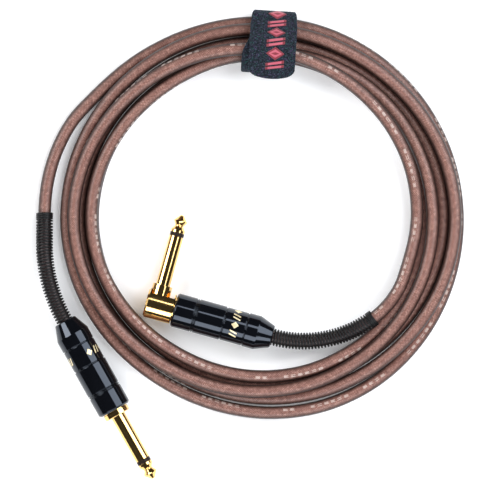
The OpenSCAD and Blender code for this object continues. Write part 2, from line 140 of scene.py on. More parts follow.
def smooth_line(points, step):
    """A smooth curve through the points, sampled about every step metres."""
    p = np.vstack([2 * points[0] - points[1], points, 2 * points[-1] - points[-2]])
    out = []
    for a, b, c, d in zip(p[:-3], p[1:-2], p[2:-1], p[3:]):
        # tangents from the points' own spacing, so uneven stations don't bulge
        ab, bc, cd = (np.linalg.norm(q) for q in (b - a, c - b, d - c))
        tb = (c - b) / bc * ab / (ab + bc) + (b - a) / ab * bc / (ab + bc)
        tc = (d - c) / cd * bc / (bc + cd) + (c - b) / bc * cd / (bc + cd)
        n = max(1, int(round(bc / step)))
        f = (np.arange(n) / n)[:, None]
        out.append((1 + 2 * f) * (1 - f) ** 2 * b + f * (1 - f) ** 2 * bc * tb
                   + f * f * (3 - 2 * f) * c - f * f * (1 - f) * bc * tc)
    return np.vstack(out + [p[-2:-1]])


class Line:
    """A smooth curve that is looked up by the length along it, in metres."""

    def __init__(self, points, step=LINE_STEP):
        self.points = smooth_line(np.asarray(points, float), step)
        self.s = np.concatenate([[0], np.cumsum(np.linalg.norm(np.diff(self.points, axis=0), axis=1))])
        self.end = self.s[-1]

    def at(self, s):
        return np.stack([np.interp(s, self.s, self.points[:, k]) for k in range(3)], axis=-1)

    def tangent(self, s):
        s = np.clip(s, LINE_STEP, self.end - LINE_STEP)
        return unit(self.at(s + LINE_STEP) - self.at(s - LINE_STEP))

    def nearest(self, p):
        return self.s[int(np.argmin(np.linalg.norm(self.points - p, axis=1)))]


# ---- Meshes ----

def add_mesh(name, verts, faces, uvs=None):
    mesh = bpy.data.meshes.new(name)
    mesh.from_pydata(np.asarray(verts).tolist(), [], np.asarray(faces).tolist())
    mesh.polygons.foreach_set("use_smooth", [True] * len(mesh.polygons))
    if uvs is not None:
        layer = mesh.uv_layers.new(name="UVMap")
        layer.data.foreach_set("uv", np.asarray(uvs, np.float32).ravel())
    mesh.update()
    obj = bpy.data.objects.new(name, mesh)
    bpy.context.scene.collection.objects.link(obj)
    return obj


def ring_points(centre, a, b, sides):
    """Rings of points around each centre, from a towards b; a and b carry the radius."""
    angle = 2 * math.pi * np.arange(sides) / sides
    return (centre[:, None] + np.cos(angle)[None, :, None] * a[:, None]
            + np.sin(angle)[None, :, None] * b[:, None])


def sweep_mesh(name, rings, along, shift=0.0):
    """A closed solid through rings of points. UVs: metres along, and share of the way around less shift."""
    n, sides = rings.shape[:2]
    i, j = np.meshgrid(np.arange(n - 1), np.arange(sides), indexing="ij")
    k = (j + 1) % sides
    near, far = i * sides, (i + 1) * sides
    walls = np.stack([near + j, near + k, far + k, far + j], -1).reshape(-1, 4)
    c = np.arange(sides // 2 - 1)
    cap = np.stack([c, c + 1, sides - 2 - c, sides - 1 - c], -1)
    faces = np.vstack([walls, cap[:, ::-1], cap + (n - 1) * sides])
    u = np.stack([along[i], along[i], along[i + 1], along[i + 1]], -1)
    around = np.broadcast_to(shift, (n,))
    shifts = np.stack([around[i], around[i], around[i + 1], around[i + 1]], -1)
    v = np.stack([j, j + 1, j + 1, j], -1) / sides - shifts
    uvs = np.vstack([np.stack([u, v], -1).reshape(-1, 2), np.zeros((8 * len(cap), 2))])
    return add_mesh(name, rings.reshape(-1, 3), faces, uvs)


def tube_mesh(name, line, s, radius, sides):
    """A closed round tube along a line, carrying the printed line's place in its UVs."""
    t = line.tangent(s)
    side = unit(np.cross(UP, t))
    rings = ring_points(line.at(s), radius * side, radius * np.cross(t, side), sides)
    return sweep_mesh(name, rings, s, s / (PRINT_TURN * MM) + PRINT_PHASE)


def wire_mesh(name, centre, radius, sides):
    """A closed round wire along a wound line, its two ends rounded off."""
    t = unit(np.gradient(centre, axis=0))
    bend = np.gradient(t, axis=0)
    out = unit(bend - t * np.sum(bend * t, axis=1, keepdims=True))
    size = np.full((len(centre), 1), radius)
    size[[0, -1]] = WIRE_END * radius
    s = np.concatenate([[0], np.cumsum(np.linalg.norm(np.diff(centre, axis=0), axis=1))])
    return sweep_mesh(name, ring_points(centre, size * out, size * np.cross(t, out), sides), s)


# ---- Materials ----

class Material:
    """A node material built up in short calls."""

    def __init__(self, name):
        self.data = bpy.data.materials.new(name)
        self.data.use_nodes = True
        self.tree = self.data.node_tree
        self.tree.nodes.clear()
        self.surface = self.tree.nodes.new("ShaderNodeBsdfPrincipled")
        out = self.tree.nodes.new("ShaderNodeOutputMaterial")
        self.tree.links.new(self.surface.outputs[0], out.inputs[0])

    def put(self, socket, value):
        if isinstance(value, bpy.types.NodeSocket):
            self.tree.links.new(value, socket)
        elif value is not None:
            socket.default_value = value

    def node(self, kind, out=0, settings=None, **inputs):
        """Adds a node and gives one of its outputs. Inputs go by name, or by number as i0, i1 and so on."""
        n = self.tree.nodes.new("ShaderNode" + kind)
        for k, v in (settings or {}).items():
            setattr(n, k, v)
        for k, v in inputs.items():
            by_number = k[0] == "i" and k[1:].isdigit()
            self.put(n.inputs[int(k[1:]) if by_number else k.replace("_", " ")], v)
        return n.outputs[out]

    def math(self, op, a, b=0.0, clamp=False):
        return self.node("Math", settings={"operation": op, "use_clamp": clamp}, i0=a, i1=b)

    def plus(self, a, b, clamp=False):
        return self.math("ADD", a, b, clamp)

    def minus(self, a, b):
        return self.math("SUBTRACT", a, b)

    def times(self, a, b, clamp=False):
        return self.math("MULTIPLY", a, b, clamp)

    def share_of(self, a, length):
        """How far into its repeat of a length a distance is, from 0 to 1."""
        return self.math("FRACT", self.math("DIVIDE", a, length))

    def mix(self, f, a, b, blend="MIX"):
        return self.node("Mix", out=2, settings={"data_type": "RGBA", "blend_type": blend}, i0=f, i6=a, i7=b)

    def ramp(self, f, stops):
        n = self.tree.nodes.new("ShaderNodeValToRGB")
        self.put(n.inputs[0], f)
        while len(n.color_ramp.elements) < len(stops):
            n.color_ramp.elements.new(0.5)
        for e, (p, c) in zip(n.color_ramp.elements, stops):
            e.position = p
            e.color = (*c, 1) if isinstance(c, tuple) else (c, c, c, 1)
        return n.outputs[0]

    def spread(self, f, low, high):
        return self.node("MapRange", i0=f, i1=0.0, i2=1.0, i3=low, i4=high)

    def noise(self, scale, detail=3.0, rough=0.6):
        return self.node("TexNoise", Vector=self.place(), Scale=scale, Detail=detail, Roughness=rough)

    def place(self):
        return self.node("TexCoord", out=3)

    def along(self, axis):
        """Distance along an axis, in metres, of the point being shaded."""
        dot = {"operation": "DOT_PRODUCT"}
        return self.node("VectorMath", out=1, settings=dot, i0=self.place(), i1=tuple(axis))

    def uv(self):
        split = self.node("SeparateXYZ", Vector=self.node("TexCoord", out=2)).node
        return split.outputs[0], split.outputs[1]

    def bump(self, height, distance, strength=1.0):
        return self.node("Bump", Height=height, Distance=distance, Strength=strength)

    def set(self, **values):
        for k, v in values.items():
            if k == "Base_Color" and isinstance(v, tuple):
                v = (*v, 1.0)
            self.put(self.surface.inputs[k.replace("_", " ")], v)
        return self.data


def rgb(r, g, b):
    """A colour named by its 0 to 255 display values."""
    def linear(c):
        c /= 255
        return c / 12.92 if c <= 0.04045 else ((c + 0.055) / 1.055) ** 2.4
    return linear(r), linear(g), linear(b)


def turn_rings(m, axis, per_mm=5.0, distance=0.004):
    """Fine rings left by turning, around an axis."""
    rings = m.times(m.along(axis), per_mm / MM)
    wave = m.node("TexNoise", settings={"noise_dimensions": "1D"}, W=rings, Scale=1.0, Detail=3.0)
    return m.bump(wave, distance * MM)


def jacket_material(covered):
    """Clear brown jacket over a copper braid, with a pale printed line of dashes.

    It has painted shadow within the two covered lengths, under the springs.
    """
    m = Material("jacket")
    u, v = m.uv()
    mm = m.times(u, 1 / MM)
    carriers, lay = 10.0, 20.0   # bundles of wires around the braid, and length in mm of one turn of them
    drift = m.times(m.minus(m.noise(160.0, 2.0), 0.5), 0.5)
    lean = m.plus(m.times(mm, carriers / lay), drift)
    around = m.times(v, carriers)
    p, q = m.plus(around, lean), m.minus(around, lean)

    def wave(x, turns):
        return m.math("SINE", m.times(x, 2 * math.pi * turns))

    over = m.plus(m.times(m.times(wave(p, 1), wave(q, 1)), 0.9), 0.5, clamp=True)
    wires = m.mix(over, m.node("CombineXYZ", X=wave(p, 5)), m.node("CombineXYZ", X=wave(q, 5)))
    wires = m.spread(m.node("SeparateXYZ", Vector=wires), 0.35, 0.65)
    crown = m.plus(m.times(m.math("ABSOLUTE", m.minus(over, 0.5)), 1.3), 0.1)
    grain = m.noise(1500.0, 4.0, 0.75)
    braid = m.plus(m.times(crown, 0.62), m.times(wires, 0.3))
    braid = m.plus(braid, m.times(m.minus(grain, 0.5), 1.2))
    mottle = m.noise(520.0, 3.0, 0.7)
    braid = m.plus(braid, m.times(m.minus(mottle, 0.5), 0.8), clamp=True)
    copper = m.ramp(braid, [(0.0, rgb(52, 31, 28)), (0.35, rgb(106, 73, 64)), (0.62, rgb(145, 106, 94)),
                            (1.0, rgb(212, 174, 158))])
    patch = m.spread(m.noise(38.0, 2.0), 0.0, 1.0)
    copper = m.mix(m.spread(patch, 0.0, 0.35), copper, (*rgb(138, 92, 84), 1))

    # darker towards the sides: partly the thick clear plastic seen edge-on, partly painted shade on the sides
    # of each strand
    rim = m.node("LayerWeight", out=1, Blend=0.5)
    shade = m.ramp(rim, [(0.0, 1.0), (0.06, 0.95), (0.16, 0.72), (0.3, 0.4), (0.5, 0.16), (1.0, 0.06)])
    skin = m.mix(1.0, copper, shade, "MULTIPLY")
    # painted shadow, bluish, on the lengths that the springs cover
    shaded = m.plus(m.math("LESS_THAN", u, covered[0]), m.math("GREATER_THAN", u, covered[1]))
    skin = m.mix(shaded, skin, (0.3, 0.36, 0.44, 1), "MULTIPLY")

    # printed dashes in groups, some of them split lengthwise
    turn = m.math("ABSOLUTE", m.minus(m.math("FRACT", v), 0.5))
    line = m.math("LESS_THAN", turn, 0.033)
    mark = m.math("GREATER_THAN", m.share_of(mm, PRINT_DASH), 0.38)
    rest = m.math("GREATER_THAN", m.share_of(mm, 8 * PRINT_DASH), 0.25)
    bar = m.math("LESS_THAN", m.share_of(mm, 20 * PRINT_DASH), 0.8)
    middle = m.math("GREATER_THAN", turn, 0.012)
    slim = m.math("MAXIMUM", middle, m.math("GREATER_THAN", m.share_of(mm, 3 * PRINT_DASH), 0.5))
    printed = m.times(m.times(line, mark), m.times(m.times(rest, bar), slim))
    worn = m.times(printed, m.spread(m.noise(900.0, 2.0), 0.15, 1.0), clamp=True)
    skin = m.mix(worn, skin, (*rgb(196, 178, 168), 1))
    relief = m.bump(m.times(crown, 0.7), 0.05 * MM, 0.5)
    rough = m.spread(m.noise(220.0, 3.0), 0.34, 0.5)
    return m.set(Base_Color=skin, Roughness=rough, Normal=relief, Coat_Weight=0.1, Coat_Roughness=0.3,
                 Specular_IOR_Level=0.35)


def spring_material():
    m = Material("spring_black")
    worn = [(0.0, rgb(6, 6, 7)), (0.6, rgb(12, 12, 14)), (1.0, rgb(38, 36, 36))]
    return m.set(Base_Color=m.ramp(m.noise(600.0), worn), Roughness=m.spread(m.noise(300.0), 0.3, 0.5),
                 Specular_IOR_Level=0.3)


GOLD = (0.95, 0.64, 0.26)
GOLD_WORN = (GOLD[0] * 0.94, GOLD[1] * 0.87, GOLD[2] * 0.72)


def gold_material(name, axis):
    m = Material(name)
    tone = m.mix(m.noise(90.0, 2.0), (*GOLD, 1), (*GOLD_WORN, 1))
    rough = m.spread(m.noise(700.0, 4.0), 0.05, 0.17)
    return m.set(Base_Color=tone, Metallic=1.0, Roughness=rough, Normal=turn_rings(m, axis))


def shell_material(name, axis):
    """Gloss black enamel with faint turning marks and fine handling scratches."""
    m = Material(name)
    scratch = m.ramp(m.noise(2600.0, 5.0, 0.8), [(0.0, 0.0), (0.68, 0.0), (0.8, 1.0)])
    tone = m.mix(m.noise(120.0), (*rgb(5, 6, 9), 1), (*rgb(12, 13, 17), 1))
    rough = m.plus(m.spread(m.noise(140.0, 3.0), 0.04, 0.1), m.times(scratch, 0.08))
    return m.set(Base_Color=tone, Roughness=rough, Normal=turn_rings(m, axis, 3.0, 0.001),
                 Specular_IOR_Level=0.5, Specular_Tint=(0.74, 0.84, 1.0, 1))


def plain_material(name, low, high, rough, metallic=0.0, scale=400.0, bump=0.01, gloss=0.5):
    """A material that varies softly between two colours."""
    m = Material(name)
    tone = m.mix(m.noise(scale, 4.0), (*low, 1), (*high, 1))
    roughness = m.spread(m.noise(scale * 0.7), rough * 0.8, rough * 1.25)
    return m.set(Base_Color=tone, Metallic=metallic, Roughness=roughness, Specular_IOR_Level=gloss,
                 Normal=m.bump(m.noise(scale * 3), bump * MM))


def fabric_material():
    """Brushed loop pile: curled fibre ends with painted highlights, painted shade between them, with bluish
    and greenish flecks.
    """
    m = Material("strap_pile")
    cells = m.node("TexVoronoi", Vector=m.place(), Scale=2100.0)
    curls = m.noise(3200.0, 4.0, 0.75)
    pile = m.plus(m.times(m.minus(1.0, cells), 0.6), m.times(curls, 0.6), clamp=True)
    # painted shade between the fibre ends and painted highlight on their tips, driven by the pile height
    dark = m.ramp(pile, [(0.0, rgb(3, 4, 6)), (0.45, rgb(12, 15, 21)), (0.75, rgb(32, 38, 46)),
                         (1.0, rgb(122, 134, 142))])
    fleck = m.ramp(m.noise(1500.0, 2.0, 0.8), [(0.0, 0.0), (0.52, 0.0), (0.66, 0.85)])
    tone = m.mix(fleck, dark, m.mix(m.ramp(m.noise(800.0), [(0.4, 0.0), (0.6, 1.0)]),
                                    (*rgb(44, 92, 88), 1), (*rgb(86, 66, 104), 1)))
    tone = m.mix(m.spread(m.noise(60.0, 2.0), 0.0, 0.35), tone, (*rgb(22, 28, 36), 1))
    return m.set(Base_Color=tone, Roughness=0.95, Sheen_Weight=0.12, Sheen_Roughness=0.5,
                 Sheen_Tint=(*rgb(150, 165, 180), 1), Specular_IOR_Level=0.15,
                 Normal=m.bump(pile, 0.35 * MM, 0.9))


def thread_material(name, core, pale):
    """Satin embroidery thread, its strands running across each stroke, each strand paler along its crest as a
    painted sheen.
    """
    m = Material(name)
    u, _ = m.uv()
    strand = m.math("ABSOLUTE", m.math("SINE", m.times(u, math.pi / (0.22 * MM))))
    fibre = m.noise(3800.0, 3.0)
    # painted sheen: paler along each strand's crest, with random fibre tone
    tone = m.mix(m.times(m.plus(strand, fibre), 0.55, clamp=True), (*core, 1), (*pale, 1))
    return m.set(Base_Color=tone, Roughness=0.55, Sheen_Weight=0.3, Normal=m.bump(strand, 0.05 * MM))


def backing_material():
    m = Material("strap_backing")
    weave = m.node("TexMagic", Vector=m.place(), Scale=1800.0)
    tone = m.mix(weave, (*rgb(8, 8, 10), 1), (*rgb(26, 27, 31), 1))
    return m.set(Base_Color=tone, Roughness=0.8, Normal=m.bump(weave, 0.1 * MM))


def floor_material():
    m = Material("floor_paper")
    tone = m.mix(m.noise(6.0, 2.0), (0.93, 0.93, 0.93, 1), (0.95, 0.95, 0.95, 1))
    return m.set(Base_Color=tone, Roughness=0.9, Specular_IOR_Level=0.1, Emission_Color=tone,
                 Emission_Strength=0.15)


# ---- Cable and springs ----

def plug_side(name):
    """A plug's barrel: a point on its axis, the way to its back, and where its shell begins and ends."""
    turn = joint(f"{name}_shell_unscrew")
    origin, back = np.array(turn["pos_m"]), unit(turn["axis"])
    front, rear = axis_span(f"{name}_shell", origin, back)
    return {"name": name, "body": f"{name}_plug", "origin": origin, "back": back, "front": front,
            "rear_point": origin + back * rear}


straight, angle = plug_side("straight"), plug_side("angle")
straight_run = rod_stations("straight_lead_conductor", straight["origin"])
coil_run = rod_stations("coil_conductor", straight_run[-1])
angle_run = rod_stations("angle_lead_conductor", coil_run[-1])
cable = Line(np.vstack([split_straights(straight_run), coil_run, split_straights(angle_run)]))
cable.points[:, 2] = np.maximum(cable.points[:, 2], LAYERS["jacket"][0] * MM)   # rests on the table


SPRING_SAMPLE = 24       # every so many of the CAD spring's corners are looked up on the cable


def find_spring(side):
    """Adds the lengths along the cable at the spring's two ends and at the seam."""
    points = corners(f"{side['name']}_spring")
    back = -1 if side is angle else 1
    reach = [cable.nearest(p) for p in points[::SPRING_SAMPLE]]
    side["s_inner"], side["s_far"] = (min(reach), max(reach))[::back]
    side["s_seam"] = side["s_far"] + back * SEAM_PAST_SPRING * MM


def stations(start, end, step):
    return np.linspace(start, end, max(2, int(abs(end - start) / (step * MM)) + 1))


def bend_with_flex(piece, side):
    """Bakes the piece's transform into its mesh. The cable's point at the seam is looked up and not used."""
    tuple(cable.at(side["s_seam"]))
    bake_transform(piece)


def build_cable(finish):
    for layer, (radius, sides, step) in LAYERS.items():
        runs = {"coil": (straight["s_seam"], angle["s_seam"])}
        for side in (straight, angle):
            front, _ = axis_span(f"{side['name']}_lead_{layer}", side["origin"], side["back"])
            tip = cable.nearest(side["origin"] + side["back"] * front)
            runs[f"{side['name']}_lead"] = tuple(sorted((tip, side["s_seam"])))
        for run, (start, end) in runs.items():
            s = stations(start, end, step if run == "coil" else LEAD_STEP)
            piece = tube_mesh(f"{run}_{layer}_tube", cable, s, radius * MM, sides)
            piece.data.materials.append(finish[layer])
            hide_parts(f"{run}_{layer}")
            if run == "coil":
                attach(piece, "coil")
            else:
                bend_with_flex(piece, straight if run.startswith("straight") else angle)


def build_spring(side, finish):
    """Wire wound around the lead: open turns, then a few close ones at the far end."""
    total = abs(side["s_far"] - side["s_inner"])
    away = np.sign(side["s_far"] - side["s_inner"])
    open_l = total - CLOSE_TURNS * CLOSE_PITCH * MM
    open_turns = open_l / (SPRING_PITCH * MM)
    turn = np.arange(0, open_turns + CLOSE_TURNS, 1 / WIRE_STEPS)
    close_reach = open_l + (turn - open_turns) * CLOSE_PITCH * MM
    reach = np.where(turn < open_turns, turn * SPRING_PITCH * MM, close_reach)
    s = side["s_inner"] + away * reach
    t = cable.tangent(s) * away
    across = unit(np.cross(UP, t))
    a = (2 * math.pi * turn)[:, None]
    centre = cable.at(s) + SPRING_R * MM * (np.cos(a) * across + np.sin(a) * np.cross(t, across))
    piece = wire_mesh(f"{side['name']}_spring_wire", centre, WIRE_R * MM, WIRE_SIDES)
    piece.data.materials.append(finish)
    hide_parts(f"{side['name']}_spring")
    bend_with_flex(piece, side)


# ---- Shells ----
# Half of a shell's outline as distance behind its front face and radius, in millimetres
SHELL_OUTLINE = [
    (0, 5.7), (0, 6.8), (0.75, 7.55), (9.0, 7.55), (9.15, 7.15), (9.4, 7.15), (9.52, 7.5), (9.88, 7.5),
    (10.0, 7.15), (10.25, 7.15), (10.4, 7.55), (22.35, 7.55), (22.5, 7.1), (22.85, 7.1), (23.0, 7.4),
    (32.35, 7.4), (32.5, 7.1), (32.8, 7.1), (32.95, 7.55), (38.1, 7.55), (38.7, 7.3), (44.6, 5.0),
    (44.9, 4.65), (44.9, 4.1), (38.3, 4.1), (38.3, 5.7), (7.0, 5.7),
]
SHELL_SOFTEN = 0.2
SHELL_SIDES = 112


def soften(outline, by, n=3, hold=0.08):
    """Rounds every corner of a closed outline, with a point beyond each end that keeps the flats flat."""
    p = np.array(outline, float)
    out = []
    for a, b, c in zip(np.roll(p, 1, axis=0), p, np.roll(p, -1, axis=0)):
        into, off = a - b, c - b
        la, lc = np.linalg.norm(into), np.linalg.norm(off)
        start, end = b + into / la * min(by, 0.35 * la), b + off / lc * min(by, 0.35 * lc)
        f = np.linspace(0, 1, n + 1)[:, None]
        out.append(start + into / la * min(hold, 0.1 * la))
        out.append((1 - f) ** 2 * start + 2 * f * (1 - f) * b + f * f * end)
        out.append(end + off / lc * min(hold, 0.1 * lc))
    return np.vstack(out)


def lathe_mesh(name, origin, axis, outline, sides):
    """A closed ring of revolution from an outline of (distance along, radius), in millimetres."""
    across = unit(np.cross(axis, UP))
    a = 2 * math.pi * np.arange(sides) / sides
    out = np.cos(a)[:, None] * UP + np.sin(a)[:, None] * across
    verts = origin + MM * (outline[:, None, :1] * axis + outline[:, None, 1:] * out[None])
    n = len(outline)
    i, j = np.meshgrid(np.arange(n), np.arange(sides), indexing="ij")
    i2, j2 = (i + 1) % n, (j + 1) % sides
    faces = np.stack([i * sides + j, i * sides + j2, i2 * sides + j2, i2 * sides + j], -1).reshape(-1, 4)
    return add_mesh(name, verts.reshape(-1, 3), faces)


def build_shell(side, finish):
    front_point = side["origin"] + side["back"] * side["front"]
    piece = lathe_mesh(f"{side['name']}_shell_body", front_point, side["back"],
                       soften(SHELL_OUTLINE, SHELL_SOFTEN), SHELL_SIDES)
    piece.data.materials.append(finish)
    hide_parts(f"{side['name']}_shell")
    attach(piece, f"{side['name']}_shell_turn")


# ---- Raised marks, as four-cornered patches laid on a surface ----

PATCH_TAPER = 0.94       # size of a patch's raised face to its foot


def patch(corners_xy, place, low, high, n=8):
    """A closed patch between two heights: verts, faces, and each vert's distances across and along."""
    a, b, c, d = (np.array(p, float) for p in corners_xy)
    f = np.linspace(0, 1, n + 1)
    u, v = np.meshgrid(f, f, indexing="ij")
    flat = ((1 - u) * (1 - v))[..., None] * a + (u * (1 - v))[..., None] * b \
        + (u * v)[..., None] * c + ((1 - u) * v)[..., None] * d
    flat = flat.reshape(-1, 2)
    inward = flat.mean(0) + (flat - flat.mean(0)) * PATCH_TAPER
    verts = np.vstack([place(flat[:, 0], flat[:, 1], low), place(inward[:, 0], inward[:, 1], high)])
    at = np.arange((n + 1) ** 2).reshape(n + 1, n + 1)
    quads = np.stack([at[:-1, :-1], at[1:, :-1], at[1:, 1:], at[:-1, 1:]], -1).reshape(-1, 4)
    rim = np.concatenate([at[:-1, 0], at[-1, :-1], at[:0:-1, -1], at[0, :0:-1]])
    top = (n + 1) ** 2
    after = np.roll(rim, -1)
    walls = np.stack([rim, after, after + top, rim + top], -1)
    return verts, np.vstack([quads[:, ::-1], quads + top, walls]), np.vstack([flat, inward])


def patches_mesh(name, shapes, place, low, high):
    """Closed patches in one mesh. Its UVs are the distances across and along, in metres."""
    verts, faces, flat, count = [], [], [], 0
    for shape in shapes:
        v, f, xy = patch(shape, place, low, high)
        verts.append(v)
        faces.append(f + count)
        flat.append(xy)
        count += len(v)
    faces = np.vstack(faces)
    return add_mesh(name, np.vstack(verts), faces, np.vstack(flat)[faces.ravel()] * MM)


def lozenge(x, y, w, h):
    return [(x - w / 2, y), (x, y - h / 2), (x + w / 2, y), (x, y + h / 2)]


def slant(x, y, w, h, lean):
    """An upright bar that leans, w wide and h high."""
    return [(x - w / 2 - lean, y - h / 2), (x + w / 2 - lean, y - h / 2),
            (x + w / 2 + lean, y + h / 2), (x - w / 2 + lean, y + h / 2)]


MARK_MID = 27.7          # middle of the shell's marked band, behind its front face
MARK_R = 7.4
MARK_H = 3.5
MARK_STEP = 31.0         # between marks, in degrees
MARKS_IN_ROW = 4
LOZENGE_W = 3.2
BAR_W = 0.7
BAR_OFF = 0.85           # a bar's middle from that of its pair
BAR_LEAN = 0.5
MARK_SUNK, MARK_RAISED = -0.06, 0.04


def build_shell_marks(side, centre_deg, finish):
    """Pale gold inlays around the shell: two rows, lozenges and leaning pairs of bars by turns."""
    back = side["back"]
    across = unit(np.cross(back, UP))
    middle = side["origin"] + back * (side["front"] + MARK_MID * MM)

    def place(x, y, height):
        a = x / MARK_R
        out = np.cos(a)[:, None] * UP + np.sin(a)[:, None] * across
        return middle + (MARK_R + height) * MM * out + (y * MM)[:, None] * back

    shapes = []
    for row in (0, 180):
        for k in range(MARKS_IN_ROW):
            from_middle = (k - (MARKS_IN_ROW - 1) / 2) * MARK_STEP
            x = math.radians(centre_deg + row + from_middle) * MARK_R
            if k % 2:
                shapes += [slant(x + off, 0, BAR_W, MARK_H, BAR_LEAN) for off in (-BAR_OFF, BAR_OFF)]
            else:
                shapes.append(lozenge(x, 0, LOZENGE_W, MARK_H))
    piece = patches_mesh(f"{side['name']}_shell_marks", shapes, place, MARK_SUNK, MARK_RAISED)
    piece.data.materials.append(finish)
    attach(piece, f"{side['name']}_shell_turn")


# ---- Strap ----
# Drawn as distance from the coil's centre and height above the table, in millimetres, and placed at the
# fold's angle

STRAP_BAND = [
    (86.2, 12.1), (81.3, 15.6), (76.6, 18.8), (73.4, 19.7), (69.6, 18.9), (66.3, 15.5), (65.2, 10.5),
    (65.9, 5), (67.6, 2.2), (69.7, 1.1), (72.5, 0.8), (76, 0.78), (80, 0.78), (84, 0.78), (87.4, 0.8),
    (89.6, 1.1), (91, 2.6), (91.4, 5.2), (91.45, 8.2),
]
STRAP_TAIL = [
    (91.45, 8.2), (91.45, 9.6), (90.6, 11.6), (87.5, 13.9), (82.6, 17.3), (77.6, 20.8), (73.4, 21.6),
    (69.6, 20.8), (66, 18.9), (61.9, 17.2),
]
HOOK_PATCH = [(84.6, 14.67), (81.9, 16.57), (77.2, 19.82), (73.5, 20.68), (72.7, 20.57)]
HOOK_T = 0.2
TAIL_ARC_R = 18.0        # curve of the tail's end
TAIL_CORNER = 3.6
STRAP_STEP = 0.35        # between the points of its mesh
EDGE_STEPS = 5
PILE_H = 0.05            # unevenness of the brushed pile
STRAP_LINE_STEP = 0.2 * MM
FOLD_REACH = (-1.4, 1.6)   # heights from the fold; the points at these heights are worked out and not used


fold = joint("strap_open")
FOLD_POS = np.array(fold["pos_m"])
STRAP_ACROSS = unit(fold["axis"])
STRAP_OUT = unit(np.cross(STRAP_ACROSS, UP))


def strap_line(points):
    p = np.array(points, float)
    return Line(FOLD_POS + ((p[:, 0] - STRAP_FOLD_R) * MM)[:, None] * STRAP_OUT
                + (p[:, 1] * MM - FOLD_POS[2])[:, None] * UP, STRAP_LINE_STEP)


def strap_frame(line, s):
    """Centre and outward normal of a strap line at each length."""
    t = line.tangent(s)
    return line.at(s), np.cross(STRAP_ACROSS, t)


def tail_trim(y):
    """How much shorter the tail is at y from its middle, in millimetres: a shallow arc, rounded corners."""
    y = np.abs(y)
    arc = TAIL_ARC_R - np.sqrt(TAIL_ARC_R ** 2 - y ** 2)
    into = np.clip((y - (STRAP_W / 2 - TAIL_CORNER)) / TAIL_CORNER, 0, 1)
    return arc * 0.75 + 0.62 * TAIL_CORNER * (1 - np.sqrt(1 - into ** 2))


def ribbon_mesh(name, line, width, thick, trim=None, skew=None, waist=None, pile=0.0):
    """A closed strip with rounded edges.

    trim shortens each lengthwise thread, skew shifts it across, and waist narrows the strip.
    """
    half, t = width / 2, thick / 2
    edge = np.linspace(0, math.pi / 2, EDGE_STEPS + 1)
    flat = np.linspace(-half + t, half - t, int(width / STRAP_STEP))
    rim_y, rim_h = half - t + t * np.sin(edge[1:]), np.cos(edge[1:]) ** 0.8
    y = np.concatenate([-rim_y[::-1], flat, rim_y])
    h = np.concatenate([rim_h[::-1], np.ones(len(flat)), rim_h])
    ring_y, ring_h = np.concatenate([y, y[-2:0:-1]]), np.concatenate([h, -h[-2:0:-1]])
    if len(ring_y) % 2:
        raise ValueError("a strip's ring needs an even number of points")
    ends = t * (1 - np.cos(edge)) * MM
    steps = int(line.end / (STRAP_STEP * MM))
    s = np.concatenate([ends[:-1], np.linspace(ends[-1], line.end - ends[-1], steps),
                        line.end - ends[-2::-1]])
    size = np.ones(len(s))
    size[-EDGE_STEPS:] = np.cos(edge[1:]) ** 0.8 + 0.02
    size[:EDGE_STEPS] = size[:-EDGE_STEPS - 1:-1]
    cut = trim(ring_y) * MM if trim else np.zeros(len(ring_y))
    rings = []
    for share, k in zip(s / line.end, size):
        length = share * (line.end - cut)
        centre, normal = strap_frame(line, length)
        narrow = waist(length / MM) if waist else 1.0
        shift = skew(length / MM) if skew else 0.0
        point = centre + ((ring_y * narrow + shift) * MM)[:, None] * STRAP_ACROSS \
            + (ring_h * k * t * MM)[:, None] * normal
        if pile:
            lift = [noise.noise(Vector(p) * 1400) + 0.6 * noise.noise(Vector(p) * 3100) for p in point]
            point = point + (np.array(lift) * pile * k * np.sign(ring_h) * MM)[:, None] * normal
        rings.append(point)
    return sweep_mesh(name, np.array(rings), s)


def ease(f):
    f = np.clip(f, 0, 1)
    return f * f * (3 - 2 * f)


def band_skew(s):
    """The band runs askew where it turns down on the inside of the coil, in millimetres."""
    return 3.0 * ease((s - 7) / 10) * ease((42 - s) / 14)


def fold_waist(s):
    """The folded strap is pinched narrower at its fold."""
    return 1 - 0.1 * (1 - ease(s / 11))


TAIL_MARK_X = -1.3       # middle of the embroidery, across the strap
TAIL_MARK_W = 6.2
TAIL_MARK_H = 3.6
TAIL_MARK_FIRST = 4.2    # middle of the first lozenge, from the fold
TAIL_MARK_STARTS = (7.4, 17.4, 27.4)   # where each pair of bars begins


def tail_mark_shapes():
    """A column of lozenges and leaning pairs of bars along the tail."""
    shapes = [lozenge(TAIL_MARK_X, TAIL_MARK_FIRST, TAIL_MARK_W, TAIL_MARK_H)]
    for start in TAIL_MARK_STARTS:
        for k in (0, 1):
            y = start + 1.9 * k
            w = TAIL_MARK_W / 2
            shapes.append([(TAIL_MARK_X - w, y), (TAIL_MARK_X + w, y + 1.2),
                           (TAIL_MARK_X + w, y + 2.2), (TAIL_MARK_X - w, y + 1.0)])
        shapes.append(lozenge(TAIL_MARK_X, start + 7.0, TAIL_MARK_W, TAIL_MARK_H))
    return shapes[:-1]


def grow(shape, by):
    """A shape with every corner moved out from its middle."""
    middle = np.mean(shape, axis=0)
    spokes = np.array(shape) - middle
    return list(middle + spokes * (1 + by / np.linalg.norm(spokes, axis=1, keepdims=True)))


